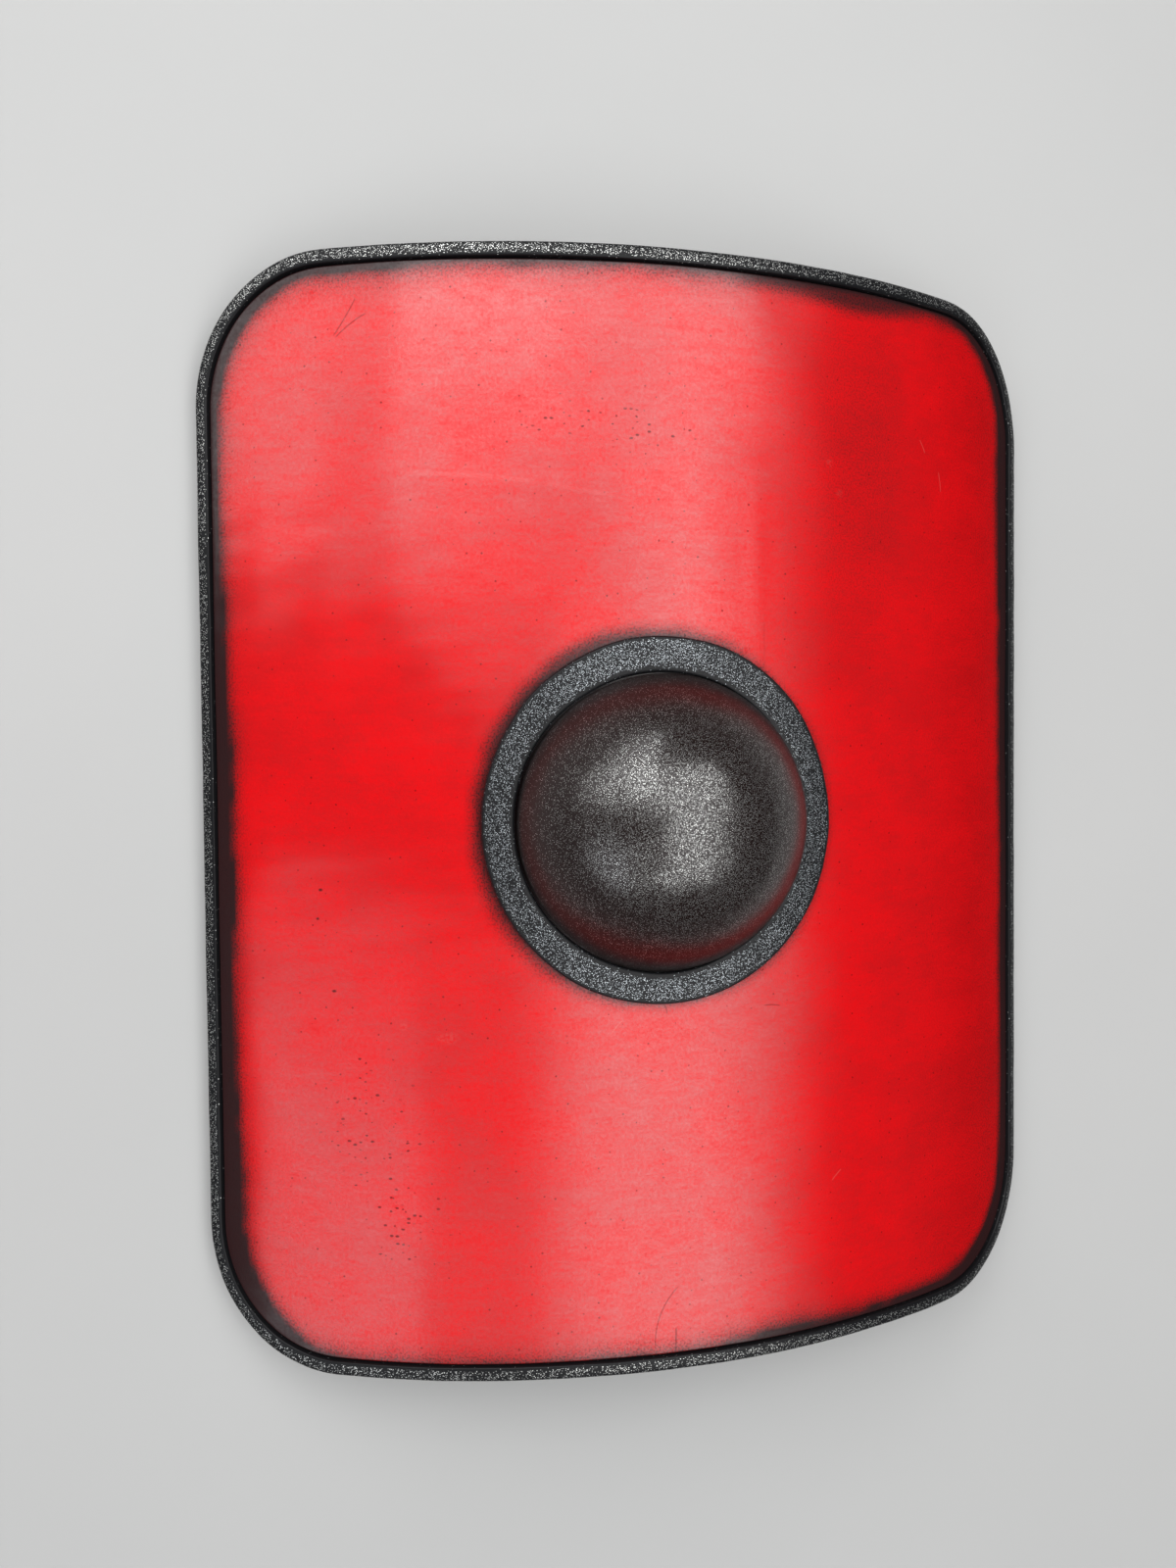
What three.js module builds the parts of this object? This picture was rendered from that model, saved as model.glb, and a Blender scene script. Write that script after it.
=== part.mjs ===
// Roman scutum shield, a costume copy in foam under painted latex.
// It lies face up on its two long edges, as it does when it is put down.
// Millimetres. X runs across the shield, Y runs up it and Z points out of its face.
// The origin is on the surface that it lies on, under the middle of its box.

import * as THREE from 'three';
import { LoftGeometry } from 'three/addons/geometries/LoftGeometry.js';
import { mergeVertices } from 'three/addons/utils/BufferGeometryUtils.js';

// Sizes of the whole shield. The width is measured round the bend, as on the flat sheet
// that the board is cut from, and the bend radius belongs to the outer face.
const HEIGHT = 619;
const WIDTH_ROUND_BEND = 542;
const BEND_RADIUS = 465;
const CORNER_RADIUS = 80;

// The foam board, and the roll of its face as it turns down into the groove beside the rim.
const BOARD_THICKNESS = 14;
const ROLL_WIDTH = 5;
const ROLL_DEPTH = 2.2;

// The rim strip. Its front is a half-round bead that stands above the face, and its foot
// reaches past the board's back.
const RIM_WIDTH = 8.2;
const RIM_ABOVE_FACE = 2.3;
const RIM_BEHIND_BACK = 3.5;
const RIM_INNER_EASE = 0.8;
const RIM_HEEL_ROUND = 2;

// The boss: a flat foam ring glued on the face, and a dome that fills its hole.
const BOSS_ACROSS = -6.9;
const BOSS_UP = -3.4;
const RING_WIDTH = 17.8;
const RING_THICKNESS = 5;
const RING_OUTER_EASE = 0.8;
const RING_INNER_ROLL = 4;
const DOME_RADIUS = 81.5;
const DOME_RISE = 58;

// The two leather straps behind the board, each a bridge between two glued ends.
const GRIP = {
  offsetAcross: -110,
  width: 32,
  thickness: 5,
  span: 112,
  clearHeight: 40,
  rampLength: 42,
  endLength: 34,
};
const ARM_STRAP = {
  offsetAcross: 100,
  width: 48,
  thickness: 4,
  span: 124,
  clearHeight: 46,
  rampLength: 50,
  endLength: 38,
};

// Pieces that touch are kept this far apart, and vertices closer than this are one.
const CLEARANCE = 0.3;
const SAME_PLACE = 0.0001;

// How finely the round forms are divided.
const CORNER_STEPS = 12;
const EDGE_STEPS = 32;
const ROUND_STEPS = 4;
const BEAD_STEPS = 8;
const CIRCLE_STEPS = 72;
const DOME_STEPS = 10;
const BASE_STEPS = 6;
const RAMP_STEPS = 8;

const BACK_RADIUS = BEND_RADIUS - BOARD_THICKNESS;

// The lowest line of the rim, at its inner back corner along the two long edges.
const FOOT_ANGLE = (WIDTH_ROUND_BEND / 2 - RIM_WIDTH) / BEND_RADIUS;
const FOOT_LEVEL = (BACK_RADIUS - RIM_BEHIND_BACK) * Math.cos(FOOT_ANGLE);

// A place on the flat sheet, raised above the face, goes to its place on the bent shield.
function bend(across, up, raised) {
  const angle = across / BEND_RADIUS;
  const radius = BEND_RADIUS + raised;
  return new THREE.Vector3(radius * Math.sin(angle), up, radius * Math.cos(angle) - FOOT_LEVEL);
}

// An arc from one direction to another, as offsets from its centre.
function arc(radius, startDegrees, endDegrees, steps) {
  const offsets = [];
  for (let i = 0; i <= steps; i += 1) {
    const degrees = THREE.MathUtils.lerp(startDegrees, endDegrees, i / steps);
    const angle = THREE.MathUtils.degToRad(degrees);
    offsets.push(new THREE.Vector2(radius * Math.cos(angle), radius * Math.sin(angle)));
  }
  return offsets;
}

// The upper half of the shield's outline on the flat sheet, from the middle of the right side
// to the middle of the left side, moved inwards by an inset.
function upperOutline(inset) {
  const halfWidth = WIDTH_ROUND_BEND / 2 - inset;
  const halfHeight = HEIGHT / 2 - inset;
  const cornerAcross = WIDTH_ROUND_BEND / 2 - CORNER_RADIUS;
  const cornerUp = HEIGHT / 2 - CORNER_RADIUS;
  const points = [new THREE.Vector2(halfWidth, 0)];
  for (const offset of arc(CORNER_RADIUS - inset, 0, 90, CORNER_STEPS)) {
    points.push(new THREE.Vector2(cornerAcross + offset.x, cornerUp + offset.y));
  }
  for (let i = 1; i < EDGE_STEPS; i += 1) {
    points.push(new THREE.Vector2(cornerAcross * (1 - 2 * i / EDGE_STEPS), halfHeight));
  }
  for (const offset of arc(CORNER_RADIUS - inset, 90, 180, CORNER_STEPS)) {
    points.push(new THREE.Vector2(-cornerAcross + offset.x, cornerUp + offset.y));
  }
  points.push(new THREE.Vector2(-halfWidth, 0));
  return points;
}

// One line round the shield at a given inset and height above the face. A spread of 0 folds
// it onto the shield's middle line, which is how the face and the back are closed.
function outlineLoop({ inset, raised, spread = 1 }) {
  const upper = upperOutline(inset);
  const lower = upper.slice(1, -1).reverse().map((point) => new THREE.Vector2(point.x, -point.y));
  return [...upper, ...lower].map((point) => bend(point.x, point.y * spread, raised));
}

// Vertices that share a place become one, and triangles that fold flat onto a line go.
function closedSolid(geometry) {
  const plain = new THREE.BufferGeometry();
  plain.setAttribute('position', geometry.getAttribute('position'));
  plain.setIndex(geometry.getIndex());
  const merged = mergeVertices(plain, SAME_PLACE);
  const index = merged.getIndex().array;
  const kept = [];
  for (let i = 0; i < index.length; i += 3) {
    const [a, b, c] = index.slice(i, i + 3);
    if (a !== b && b !== c && c !== a) {
      kept.push(a, b, c);
    }
  }
  merged.setIndex(kept);
  merged.computeVertexNormals();
  return merged;
}

// The board's section, from the middle of the back, round its edge, to the middle of the face.
function boardGeometry() {
  const edge = RIM_WIDTH + CLEARANCE;
  const section = [
    { inset: edge, raised: -BOARD_THICKNESS, spread: 0 },
    { inset: edge, raised: -BOARD_THICKNESS },
  ];
  for (const offset of arc(1, 0, 90, ROUND_STEPS)) {
    section.push({ inset: edge + ROLL_WIDTH * (1 - offset.x), raised: ROLL_DEPTH * (offset.y - 1) });
  }
  section.push({ inset: edge + ROLL_WIDTH, raised: 0, spread: 0 });
  return closedSolid(new LoftGeometry(section.map(outlineLoop)));
}

// The rim's foot is cut at a slant, so that it is level along the long edges and lies flat.
function footAt(inset) {
  return FOOT_LEVEL / Math.cos((WIDTH_ROUND_BEND / 2 - inset) / BEND_RADIUS) - BEND_RADIUS;
}

// The rim's section, from the outer wall over the bead, down the inner wall and along the foot.
function rimGeometry() {
  const heel = RIM_HEEL_ROUND;
  const bead = RIM_WIDTH / 2;
  const section = [{ inset: 0, raised: footAt(heel) + heel }];
  for (const offset of arc(bead, 0, 180, BEAD_STEPS)) {
    section.push({ inset: bead - offset.x, raised: RIM_ABOVE_FACE - bead + offset.y });
  }
  section.push(
    { inset: RIM_WIDTH, raised: footAt(RIM_WIDTH) + RIM_INNER_EASE },
    { inset: RIM_WIDTH - RIM_INNER_EASE, raised: footAt(RIM_WIDTH - RIM_INNER_EASE) },
    { inset: heel, raised: footAt(heel) },
  );
  const loops = section.map(outlineLoop);
  return closedSolid(new LoftGeometry([...loops, loops[0]]));
}

// One circle round the boss on the flat sheet, bent with the face.
function bossLoop({ radius, raised }) {
  const loop = [];
  for (let i = 0; i < CIRCLE_STEPS; i += 1) {
    const angle = 2 * Math.PI * i / CIRCLE_STEPS;
    loop.push(bend(BOSS_ACROSS + radius * Math.cos(angle), BOSS_UP + radius * Math.sin(angle), raised));
  }
  return loop;
}

// The ring's hole is a clearance wider than the dome, also across the bend.
function ringGeometry() {
  const hole = BEND_RADIUS * Math.asin((DOME_RADIUS + CLEARANCE) / BEND_RADIUS);
  const outside = hole + RING_WIDTH;
  const section = [
    { radius: outside, raised: CLEARANCE },
    { radius: outside, raised: RING_THICKNESS - RING_OUTER_EASE },
    { radius: outside - RING_OUTER_EASE, raised: RING_THICKNESS },
  ];
  for (const offset of arc(RING_INNER_ROLL, 90, 180, ROUND_STEPS)) {
    section.push({
      radius: hole + RING_INNER_ROLL + offset.x,
      raised: RING_THICKNESS - RING_INNER_ROLL + offset.y,
    });
  }
  section.push({ radius: hole, raised: CLEARANCE });
  const loops = section.map(bossLoop);
  return closedSolid(new LoftGeometry([...loops, loops[0]]));
}

// The dome is part of a ball, with its base shaped to the bent face that it stands on.
function domeGeometry() {
  const ball = (DOME_RADIUS ** 2 + DOME_RISE ** 2) / (2 * DOME_RISE);
  const halfAngle = Math.asin(DOME_RADIUS / ball);
  const profile = [];
  for (let i = 0; i <= BASE_STEPS; i += 1) {
    profile.push(new THREE.Vector2(DOME_RADIUS * i / BASE_STEPS, 0));
  }
  for (let i = 0; i <= DOME_STEPS; i += 1) {
    const angle = halfAngle * (1 - i / DOME_STEPS);
    const radius = i === DOME_STEPS ? 0 : ball * Math.sin(angle);
    profile.push(new THREE.Vector2(radius, RING_THICKNESS + DOME_RISE - ball * (1 - Math.cos(angle))));
  }
  const geometry = new THREE.LatheGeometry(profile, CIRCLE_STEPS);
  geometry.rotateX(Math.PI / 2);
  const places = geometry.getAttribute('position');
  for (let i = 0; i < places.count; i += 1) {
    if (Math.abs(places.getZ(i)) < SAME_PLACE) {
      places.setZ(i, Math.sqrt((BEND_RADIUS + CLEARANCE) ** 2 - places.getX(i) ** 2) - BEND_RADIUS);
    }
  }
  return closedSolid(geometry);
}

// The height of a strap's middle line below the board, from one end to the other.
function strapLine({ thickness, span, clearHeight, rampLength, endLength }) {
  const half = span / 2 + rampLength;
  const line = [new THREE.Vector2(-half - endLength, thickness / 2)];
  for (let i = 0; i <= RAMP_STEPS; i += 1) {
    const part = THREE.MathUtils.smoothstep(i, 0, RAMP_STEPS);
    const along = -half + rampLength * i / RAMP_STEPS;
    line.push(new THREE.Vector2(along, thickness / 2 + clearHeight * part));
  }
  const mirrored = line.slice().reverse().map((point) => new THREE.Vector2(-point.x, point.y));
  return [...line, ...mirrored];
}

// A strap is its middle line with half the leather's thickness on each side.
function strapGeometry(strap) {
  const line = strapLine(strap);
  const sides = [1, -1].map((side) => line.map((point, i) => {
    const before = line[Math.max(i - 1, 0)];
    const after = line[Math.min(i + 1, line.length - 1)];
    const along = after.clone().sub(before).normalize();
    const shift = side * strap.thickness / 2;
    return new THREE.Vector2(point.x - along.y * shift, -(point.y + along.x * shift));
  }));
  const shape = new THREE.Shape([...sides[0], ...sides[1].reverse()]);
  const geometry = new THREE.ExtrudeGeometry(shape, { depth: strap.width, bevelEnabled: false });
  const alongY = new THREE.Vector3(0, 1, 0);
  const alongZ = new THREE.Vector3(0, 0, 1);
  const alongX = new THREE.Vector3(1, 0, 0);
  geometry.translate(0, 0, -strap.width / 2);
  geometry.applyMatrix4(new THREE.Matrix4().makeBasis(alongY, alongZ, alongX));
  return closedSolid(geometry);
}

// A straight piece turns with the bend at its place across the shield. Its distance is
// measured from the line that the shield is bent round.
function placeAt(mesh, across, up, distance) {
  const angle = across / BEND_RADIUS;
  mesh.position.set(distance * Math.sin(angle), up, distance * Math.cos(angle) - FOOT_LEVEL);
  mesh.rotation.y = angle;
}

// A flat strap end touches the hollow back along its two edges.
function placeStrap(mesh, strap) {
  const seat = Math.sqrt((BACK_RADIUS - CLEARANCE) ** 2 - (strap.width / 2) ** 2);
  placeAt(mesh, strap.offsetAcross, 0, seat);
}

const finishes = {
  redLatex: new THREE.MeshStandardMaterial({ color: 0xd0161a, roughness: 0.28, metalness: 0 }),
  speckledLatex: new THREE.MeshStandardMaterial({ color: 0x3a3d3e, roughness: 0.4, metalness: 0.35 }),
  domeLatex: new THREE.MeshStandardMaterial({ color: 0x26211f, roughness: 0.3, metalness: 0.25 }),
  leather: new THREE.MeshStandardMaterial({ color: 0x2b211b, roughness: 0.6, metalness: 0 }),
};

function piece(name, geometry, finish) {
  const mesh = new THREE.Mesh(geometry, finish.clone());
  mesh.name = name;
  return mesh;
}

function buildShield() {
  const shield = new THREE.Group();
  shield.name = 'roman_scutum_shield';
  const dome = piece('boss_dome', domeGeometry(), finishes.domeLatex);
  const grip = piece('hand_grip', strapGeometry(GRIP), finishes.leather);
  const armStrap = piece('arm_strap', strapGeometry(ARM_STRAP), finishes.leather);
  placeAt(dome, BOSS_ACROSS, BOSS_UP, BEND_RADIUS);
  placeStrap(grip, GRIP);
  placeStrap(armStrap, ARM_STRAP);
  shield.add(
    piece('board', boardGeometry(), finishes.redLatex),
    piece('rim', rimGeometry(), finishes.speckledLatex),
    piece('boss_ring', ringGeometry(), finishes.speckledLatex),
    dome,
    grip,
    armStrap,
  );
  return shield;
}

export default buildShield();
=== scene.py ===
# %% [markdown]
# # A roman shield in foam and latex
# The shield is a costume copy: a board of foam, bent round an upright line, brushed with red
# latex, with a raised black rim, a flat ring and a round dome in the middle, and two leather
# straps behind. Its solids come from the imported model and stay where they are. Every piece
# made here takes the place of one of them, in metres and in the same frame.

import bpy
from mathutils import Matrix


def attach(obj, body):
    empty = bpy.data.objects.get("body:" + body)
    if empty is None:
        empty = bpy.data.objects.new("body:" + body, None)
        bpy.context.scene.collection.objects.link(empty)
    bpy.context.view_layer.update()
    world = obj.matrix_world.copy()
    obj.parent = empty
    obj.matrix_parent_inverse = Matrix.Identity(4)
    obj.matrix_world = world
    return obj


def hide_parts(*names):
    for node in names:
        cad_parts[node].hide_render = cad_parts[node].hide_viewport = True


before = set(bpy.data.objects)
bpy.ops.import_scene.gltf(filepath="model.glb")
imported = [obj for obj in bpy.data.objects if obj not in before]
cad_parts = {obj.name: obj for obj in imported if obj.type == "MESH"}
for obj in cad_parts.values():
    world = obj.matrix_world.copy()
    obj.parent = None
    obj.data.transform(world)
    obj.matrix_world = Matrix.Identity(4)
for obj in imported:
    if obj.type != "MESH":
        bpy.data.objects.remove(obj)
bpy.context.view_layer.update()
print("solids:", ", ".join(sorted(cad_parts)))

# %% [markdown]
# ## Sizes
# The board is cut from a flat sheet and then bent, so it is easiest to measure on the flat
# sheet: how far across, how far up, and how far a point is raised above the face. These are
# the sizes that the solids were made with.

# %% Sizes of the shield, in metres
import math

import bpy
import numpy as np
from mathutils import Matrix, Vector

MM = 0.001
HEIGHT = 619 * MM
WIDTH = 542 * MM
BEND = 465 * MM
CORNER = 80 * MM
THICKNESS = 14 * MM
ROLL_WIDTH = 1.2 * MM
ROLL_DEPTH = 1.5 * MM
RIM_WIDTH = 8.2 * MM
RIM_ABOVE = 2.3 * MM
RIM_BEHIND = 3.5 * MM
HEEL = 2 * MM
GAP = 0.3 * MM
BOSS = (-6.9 * MM, -3.4 * MM)
DOME_RADIUS = 81.5 * MM
DOME_RISE = 58 * MM
RING_WIDTH = 17.8 * MM
RING_THICKNESS = 5 * MM
BACK = BEND - THICKNESS
FOOT_LEVEL = (BACK - RIM_BEHIND) * math.cos((WIDTH / 2 - RIM_WIDTH) / BEND)
print("the bend's line lies", round(FOOT_LEVEL, 4), "m below the floor")

# %% [markdown]
# ## Bending the flat sheet
# A sheet that is bent without stretching keeps its lengths. A place that is so far across
# goes round the bend by that distance divided by the bend's radius. One function does this
# for every piece that follows the face.


# %% Bend a list of flat places
def bent(flat):
    """Rows of (across, up, raised) on the flat sheet go to their places on the shield."""
    angle = flat[:, 0] / BEND
    radius = BEND + flat[:, 2]
    depth = radius * np.cos(angle) - FOOT_LEVEL
    return np.column_stack([radius * np.sin(angle), flat[:, 1], depth])


crown = bent(np.zeros((1, 3)))[0]
print("the middle of the face is", round(crown[2], 4), "m above the floor")

# %% [markdown]
# ## The camera
# The shield was looked at from close above, a little left of its middle, with a wide lens, so
# its top and bottom edges look bowed. The camera stands at that place and angle.

# %% The camera
RIGHT = Vector((0.9755, -0.0098, 0.2198)).normalized()
AHEAD = Vector((0.2195, -0.0284, -0.9752)).normalized()
CAMERA_PLACE = (-0.1896, 0.0364, 0.7094)
RAISED_AXIS = RIGHT.cross(AHEAD).normalized()
lens = bpy.data.cameras.new("camera")
lens.lens = 27
lens.sensor_width = 36
camera = bpy.data.objects.new("camera", lens)
camera.matrix_world = Matrix((RIGHT, RAISED_AXIS, -AHEAD)).transposed().to_4x4()
camera.location = CAMERA_PLACE
bpy.context.scene.collection.objects.link(camera)
bpy.context.scene.camera = camera
bpy.context.scene.view_settings.view_transform = "Standard"
print("the camera is", round(camera.location.z - crown[2], 3), "m above the face")

# %% [markdown]
# ## Light
# Glossy latex shows its lights as much as its colour: each pale zone on the face is the
# reflection of softboxes, which all hang two metres up. Wide ones beyond the top edge give
# the zone at the top left, with a dimmer column in it. A tall band over the right of the
# middle gives the long pale band, and weak ones far down on the left lift the lower corner.
# One softbox would have hard borders, so each zone is made of columns whose strength rises
# or falls step by step. Nothing hangs far on the right, so the red stays deep there.

# %% One softbox
LIGHT_HEIGHT = 2.0


def softbox(name, left, right, bottom, top, radiance, colour):
    """A rectangle of light that looks down. Its brightness doesn't change with its size."""
    lamp = bpy.data.lights.new(name, "AREA")
    lamp.shape = "RECTANGLE"
    lamp.size, lamp.size_y = right - left, top - bottom
    lamp.energy = radiance * math.pi * lamp.size * lamp.size_y
    lamp.color = colour
    holder = bpy.data.objects.new(name, lamp)
    holder.location = ((left + right) / 2, (bottom + top) / 2, LIGHT_HEIGHT)
    holder.visible_camera = False
    bpy.context.scene.collection.objects.link(holder)


print("softboxes hang", LIGHT_HEIGHT, "m up")

# %% Columns of softboxes: name, left, right, the levels where they meet, their strengths
TOP_LEVELS = (0.3, 0.4, 0.5, 0.6, 0.7, 0.82, 0.93, 4.2)
RAMP_LEVELS = (-0.3, 0.65, 0.95, 1.6)
LOW_LEVELS = (-2.0, -0.3)
FADE_LEVELS = (-2.0, -0.3, 0.85, 1.6)
COLUMNS = [
    ("far_left", -6.6, -3.6, (0.9, 1.05, 4.2), (1.1, 2.3)),
    ("left", -3.6, -2.3, (0.52, 0.62, 0.72, 4.2), (0.35, 1.2, 2.5)),
    ("dip", -2.3, -1.45, (0.36, 0.48, 0.62, 0.95, 1.15, 4.2), (0.6, 1.15, 1.55, 2.0, 2.6)),
    ("top", -1.45, -0.2, TOP_LEVELS, (1.05, 1.5, 1.9, 2.4, 2.9, 3.5, 4.3)),
    ("under_top", -1.15, -0.2, (0.2, 0.3), (0.75,)),
    ("lowest_top", -0.8, -0.2, (0.02, 0.2), (0.35,)),
    ("ramp_1", -0.2, 0.0, RAMP_LEVELS, (1.7, 2.5, 3.8)),
    ("ramp_2", 0.0, 0.2, RAMP_LEVELS, (2.1, 2.6, 3.6)),
    ("ramp_3", 0.2, 0.4, RAMP_LEVELS, (2.6, 2.8, 3.5)),
    ("ramp_4", 0.4, 0.6, RAMP_LEVELS, (3.1, 3.1, 3.6)),
    ("long", 0.6, 0.9, (-0.3, 1.6), (3.5,)),
    ("low_edge", -0.5, -0.3, LOW_LEVELS, (0.9,)),
    ("low_rise", -0.3, -0.1, LOW_LEVELS, (1.7,)),
    ("low_ramp", -0.1, 0.1, LOW_LEVELS, (2.5,)),
    ("low_long", 0.1, 0.9, LOW_LEVELS, (3.0,)),
    ("low_left", -3.8, -1.35, (-2.8, -1.05, -0.8, -0.55, -0.35), (1.9, 1.35, 0.95, 0.6)),
    ("low_middle", -1.35, -0.5, (-2.8, -0.9, -0.35), (0.8, 0.5)),
]
FADE_START = 0.9
FADE_WIDTH = 0.22
FADE_STRENGTHS = [
    (2.4, 2.3, 3.5),
    (1.7, 1.3, 2.7),
    (1.2, 0.7, 1.4),
    (0.75, 0.35, 0.6),
    (0.4, 0.2, 0.3),
    (0.2, 0.1, 0.1),
]
for step, strengths in enumerate(FADE_STRENGTHS):
    left = FADE_START + FADE_WIDTH * step
    COLUMNS.append((f"fade_{step}", left, left + FADE_WIDTH, FADE_LEVELS, strengths))
print("columns:", len(COLUMNS))

# %% Hang the softboxes
WHITE_LIGHT = (1, 1, 1)
COOL_LIGHT = (0.93, 0.96, 1)
for name, left, right, levels, strengths in COLUMNS:
    colour = COOL_LIGHT if name == "low_left" else WHITE_LIGHT
    for step, strength in enumerate(strengths):
        softbox(f"softbox_{name}_{step}", left, right, levels[step], levels[step + 1], strength, colour)
world = bpy.data.worlds.new("room")
world.use_nodes = True
world.node_tree.nodes["Background"].inputs["Color"].default_value = (0.9, 0.95, 1, 1)
world.node_tree.nodes["Background"].inputs["Strength"].default_value = 0.06
bpy.context.scene.world = world

# %% [markdown]
# ## Sums on sockets
# A material's pattern is a sum of simple fields, such as a distance or a noise. Written with
# nodes alone such a sum is hard to read. This class wraps a node's output so that Python's
# own signs add the Math nodes. The same class serves the node trees that make shapes.


# %% A socket that can be added and multiplied
class Wire:
    """One output of a node. Signs add Math nodes, and node() adds any other node."""

    def __init__(self, socket):
        self.socket = socket

    def node(self, kind, settings, inputs, output=0):
        """Adds a node, with its settings first and then the values or wires it takes."""
        tree = self.socket.id_data
        made = tree.nodes.new(kind)
        for name, value in settings.items():
            setattr(made, name, value)
        for key, value in inputs.items():
            if isinstance(value, Wire):
                tree.links.new(value.socket, made.inputs[key])
            else:
                made.inputs[key].default_value = value
        return Wire(made.outputs[output])

    def math(self, operation, *others):
        inputs = dict(enumerate((self, *others)))
        return self.node("ShaderNodeMath", {"operation": operation}, inputs)

    def swapped(self, operation, other):
        return self.node("ShaderNodeMath", {"operation": operation}, {0: other, 1: self})

    def __add__(self, other):
        return self.math("ADD", other)

    def __sub__(self, other):
        return self.math("SUBTRACT", other)

    def __mul__(self, other):
        return self.math("MULTIPLY", other)

    def __truediv__(self, other):
        return self.math("DIVIDE", other)

    def __pow__(self, other):
        return self.math("POWER", other)

    def __rsub__(self, other):
        return self.swapped("SUBTRACT", other)

    def __rtruediv__(self, other):
        return self.swapped("DIVIDE", other)

    __radd__ = __add__
    __rmul__ = __mul__


print("signs ready")

# %% Fields that the finishes share
def fade(value, low, high):
    """0 below low, 1 above high, and smooth between. It falls where low is above high."""
    settings = {"interpolation_type": "SMOOTHSTEP"}
    if low > high:
        return 1 - fade(value, high, low)
    inputs = {"Value": value, "From Min": low, "From Max": high}
    return value.node("ShaderNodeMapRange", settings, inputs)


def noise(place, size, detail=2.0, roughness=0.5, kind="3D"):
    """Soft lumps about this size, in metres, from 0 to 1."""
    inputs = {"Vector": place, "Scale": 1 / size, "Detail": detail, "Roughness": roughness}
    return place.node("ShaderNodeTexNoise", {"noise_dimensions": kind}, inputs)


def flat_noise(sheet, size, detail=2.0, roughness=0.5, drawn_out=1.0):
    """Noise on the flat sheet, longer across than up by this factor. It is quick to work out."""
    longer = stretched(sheet, (1 / drawn_out, 1, 1)) if drawn_out != 1 else sheet
    return noise(longer, size, detail, roughness, "2D")


def cells(place, size, kind="3D"):
    """Scattered points this far apart: the distance to the nearest, and its own colour."""
    settings = {"voronoi_dimensions": kind}
    near = place.node("ShaderNodeTexVoronoi", settings, {"Vector": place, "Scale": 1 / size})
    return near, Wire(near.socket.node.outputs["Color"])


def each_axis(operation, first, second):
    """ADD, SUBTRACT or MULTIPLY on each axis of two places."""
    return first.node("ShaderNodeVectorMath", {"operation": operation}, {0: first, 1: second})


def stretched(place, scale):
    """The place with each axis multiplied, so that a pattern on it is drawn out."""
    return each_axis("MULTIPLY", place, scale)


def part(vector, axis):
    return vector.node("ShaderNodeSeparateXYZ", {}, {0: vector}, axis)


def blend_colours(factor, first, second):
    """The first colour where the factor is 0, the second where it is 1."""
    settings = {"data_type": "RGBA"}
    return factor.node("ShaderNodeMix", settings, {"Factor": factor, 6: first, 7: second}, 2)


def finish_material(name, viewport, fixed):
    """A new material: (its shader node, its Object coordinates, the material)."""
    material = bpy.data.materials.new(name)
    material.use_nodes = True
    material.diffuse_color = (*viewport, 1)
    tree = material.node_tree
    shader = tree.nodes["Principled BSDF"]
    for socket, value in fixed.items():
        shader.inputs[socket].default_value = value
    coordinates = tree.nodes.new("ShaderNodeTexCoord")
    return shader, Wire(coordinates.outputs["Object"]), material


def connect(shader, **wires):
    """Links wires to the shader's sockets. An underscore in a name stands for a space."""
    for name, wire in wires.items():
        shader.id_data.links.new(wire.socket, shader.inputs[name.replace("_", " ")])


def relief(height):
    """A Bump from a height that is in millimetres."""
    return height.node("ShaderNodeBump", {}, {"Distance": MM, "Height": height})


def attribute(place, name, output):
    return place.node("ShaderNodeAttribute", {"attribute_name": name}, {}, output)


print("fields ready")

# %% [markdown]
# ## The red latex face
# The real face is brushed with latex, so it is glossy and slightly wrinkled. Black paint was
# sprayed along its edges and round the boss, and it fades out softly. Painted shade is laid
# in with the same black: a thin line in the joint round the boss, and thin veils on the right
# side and the lower left. Every vertex of the board carries its flat place, so patterns follow
# the bend, and how much of the black paint and painted shade it has. The gloss is a clear
# coat on matt paint. It is uneven where the brush went, and almost nothing on the right, where
# it would only mirror the pale floor.


# %% Masks on the flat sheet
def spot(sheet, across, up, wide, high):
    """1 in the middle of a soft oval on the flat sheet, 0 outside it. Sizes in millimetres."""
    x = (part(sheet, "X") - across * MM) / (wide * MM)
    y = (part(sheet, "Y") - up * MM) / (high * MM)
    return fade(x * x + y * y, 1.0, 0.0)


def hairline(sheet, x0, y0, x1, y1, bow, thin=0.5):
    """A thin bowed line between two flat places, in millimetres. It fades at its ends."""
    long = math.hypot(x1 - x0, y1 - y0)
    ahead = ((x1 - x0) / long, (y1 - y0) / long)
    x, y = part(sheet, "X") - x0 * MM, part(sheet, "Y") - y0 * MM
    along = (x * ahead[0] + y * ahead[1]) / (long * MM)
    aside = y * ahead[0] - x * ahead[1]
    off = (aside - along * (1 - along) * (4 * bow * MM)).math("ABSOLUTE")
    ends = fade(along, 0.0, 0.12) * fade(along, 1.0, 0.88)
    return fade(off, thin * MM, thin * 0.3 * MM) * ends


print("masks ready")

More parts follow.
